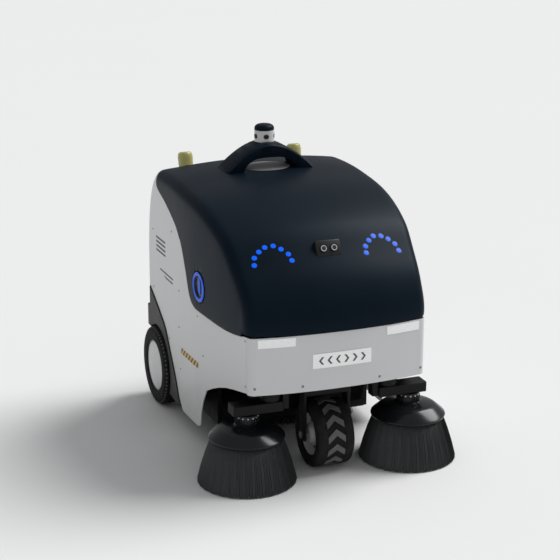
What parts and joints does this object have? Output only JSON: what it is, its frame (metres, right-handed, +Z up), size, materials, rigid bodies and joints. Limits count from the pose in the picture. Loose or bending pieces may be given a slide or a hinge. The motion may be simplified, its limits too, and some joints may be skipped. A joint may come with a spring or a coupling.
{
  "type": "robotic floor cleaner",
  "caption": "Self-driving outdoor sweeper with a lifting hood, side brushes, a main brush roller, a drawer hopper, a steered front wheel and a roof sensor arch.",
  "frame": {"origin": "middle of the footprint, on the floor", "axes": "+Z up; the machine faces -Y; its own left side is +X"},
  "size_m": [1.248, 1.53, 1.4496],
  "materials": {
    "white_panel": "satin paint",
    "dark_hood": "gloss",
    "black_plastic": "fine grain",
    "black_steel": "powder coat",
    "steel": "brushed",
    "tyre": "moulded rubber",
    "grey_hub": "satin",
    "grey_rim": "satin",
    "bristle": "stiff filament",
    "reflector": "retroreflective",
    "blue_lamp": "lit",
    "amber": "translucent amber",
    "lens": "gloss",
    "rubber": "matt",
    "battery": "satin",
    "cast": "as cast",
    "paper": "pleated",
    "red": "gloss"
  },
  "bodies": {
    "chassis": {"chassis_frame": "black_steel", "front_bulkhead": "black_steel", "roller_housing": "black_steel", "side_panel_left": "white_panel", "side_panel_right": "white_panel", "front_panel": "white_panel", "rear_shell": "white_panel", "fender_left": "black_plastic", "fender_right": "black_plastic", "rear_bumper": "black_plastic", "fan_housing": "black_plastic", "chevron_plate": "reflector", "reflector_left": "reflector", "reflector_right": "reflector", "battery_pack": "battery", "controller_box": "cast", "drive_motor_left": "cast", "drive_motor_right": "cast", "roller_motor": "cast", "steering_head": "cast", "filter_cartridge": "paper", "beacon_left": "amber", "beacon_right": "amber", "hinge_rod": "steel", "drive_belt": "rubber"},
    "hood": {"hood_shell": "dark_hood", "sensor_arch": "dark_hood", "lidar_base": "white_panel", "lidar_dome": "dark_hood", "camera_housing": "black_plastic", "camera_lens_left": "lens", "camera_lens_right": "lens", "ring_light_left": "blue_lamp", "ring_light_right": "blue_lamp", "hinge_arm_left": "black_steel", "hinge_arm_right": "black_steel"},
    "steering": {"steering_fork": "black_steel", "front_axle": "steel"},
    "front_wheel": {"front_tyre": "tyre", "front_rim": "grey_rim"},
    "rear_wheel_left": {"rear_tyre_left": "tyre", "rear_rim_left": "cast", "hub_cap_left": "grey_hub"},
    "rear_wheel_right": {"rear_tyre_right": "tyre", "rear_rim_right": "cast", "hub_cap_right": "grey_hub"},
    "brush_arm_left": {"brush_arm_left": "black_steel", "brush_motor_left": "black_steel"},
    "brush_arm_right": {"brush_arm_right": "black_steel", "brush_motor_right": "black_steel"},
    "side_brush_left": {"brush_disc_left": "black_plastic", "brush_bristles_left": "bristle"},
    "side_brush_right": {"brush_disc_right": "black_plastic", "brush_bristles_right": "bristle"},
    "main_brush": {"roller_core": "black_plastic", "roller_bristles": "bristle"},
    "motor_pulley": {"motor_pulley": "steel"},
    "hopper": {"hopper_bin": "black_plastic", "hopper_handle": "steel"},
    "emergency_button": {"emergency_button": "red"}
  },
  "joints": [
    {"name": "hood_hinge", "type": "hinge", "parent": "chassis", "child": "hood", "pos_m": [0, 0.519, 1.20884], "axis": [-1, 0, 0], "range_deg": [0, 55]},
    {"name": "steer", "type": "hinge", "parent": "chassis", "child": "steering", "pos_m": [0, -0.488, 0.375], "axis": [0, 0, 1], "range_deg": [-60, 60]},
    {"name": "front_wheel_spin", "type": "hinge", "parent": "steering", "child": "front_wheel", "pos_m": [0, -0.488, 0.155], "axis": [1, 0, 0], "continuous": true},
    {"name": "rear_wheel_spin_left", "type": "hinge", "parent": "chassis", "child": "rear_wheel_left", "pos_m": [0.461, 0.546, 0.199], "axis": [1, 0, 0], "continuous": true},
    {"name": "rear_wheel_spin_right", "type": "hinge", "parent": "chassis", "child": "rear_wheel_right", "pos_m": [-0.461, 0.546, 0.199], "axis": [1, 0, 0], "continuous": true},
    {"name": "brush_lift_left", "type": "slide", "parent": "chassis", "child": "brush_arm_left", "axis": [0, 0, 1], "range_m": [0, 0.035]},
    {"name": "brush_lift_right", "type": "slide", "parent": "chassis", "child": "brush_arm_right", "axis": [0, 0, 1], "range_m": [0, 0.035]},
    {"name": "side_brush_spin_left", "type": "hinge", "parent": "brush_arm_left", "child": "side_brush_left", "pos_m": [0.397, -0.538, 0.205], "axis": [0, 0, 1], "continuous": true},
    {"name": "side_brush_spin_right", "type": "hinge", "parent": "brush_arm_right", "child": "side_brush_right", "pos_m": [-0.397, -0.538, 0.205], "axis": [0, 0, 1], "continuous": true},
    {"name": "main_brush_spin", "type": "hinge", "parent": "chassis", "child": "main_brush", "pos_m": [0, 0.031, 0.128], "axis": [1, 0, 0], "continuous": true},
    {"name": "motor_pulley_spin", "type": "hinge", "parent": "chassis", "child": "motor_pulley", "pos_m": [0.39, 0.031, 0.353], "axis": [1, 0, 0], "continuous": true},
    {"name": "hopper_slide", "type": "slide", "parent": "chassis", "child": "hopper", "axis": [0, 1, 0], "range_m": [0, 0.42]},
    {"name": "emergency_press", "type": "slide", "parent": "chassis", "child": "emergency_button", "axis": [0, -1, 0], "range_m": [0, 0.004], "stiffness_N_per_m": 600}
  ],
  "couplings": [
    {"joint": "motor_pulley_spin", "follows": "main_brush_spin", "ratio": 2}
  ]
}
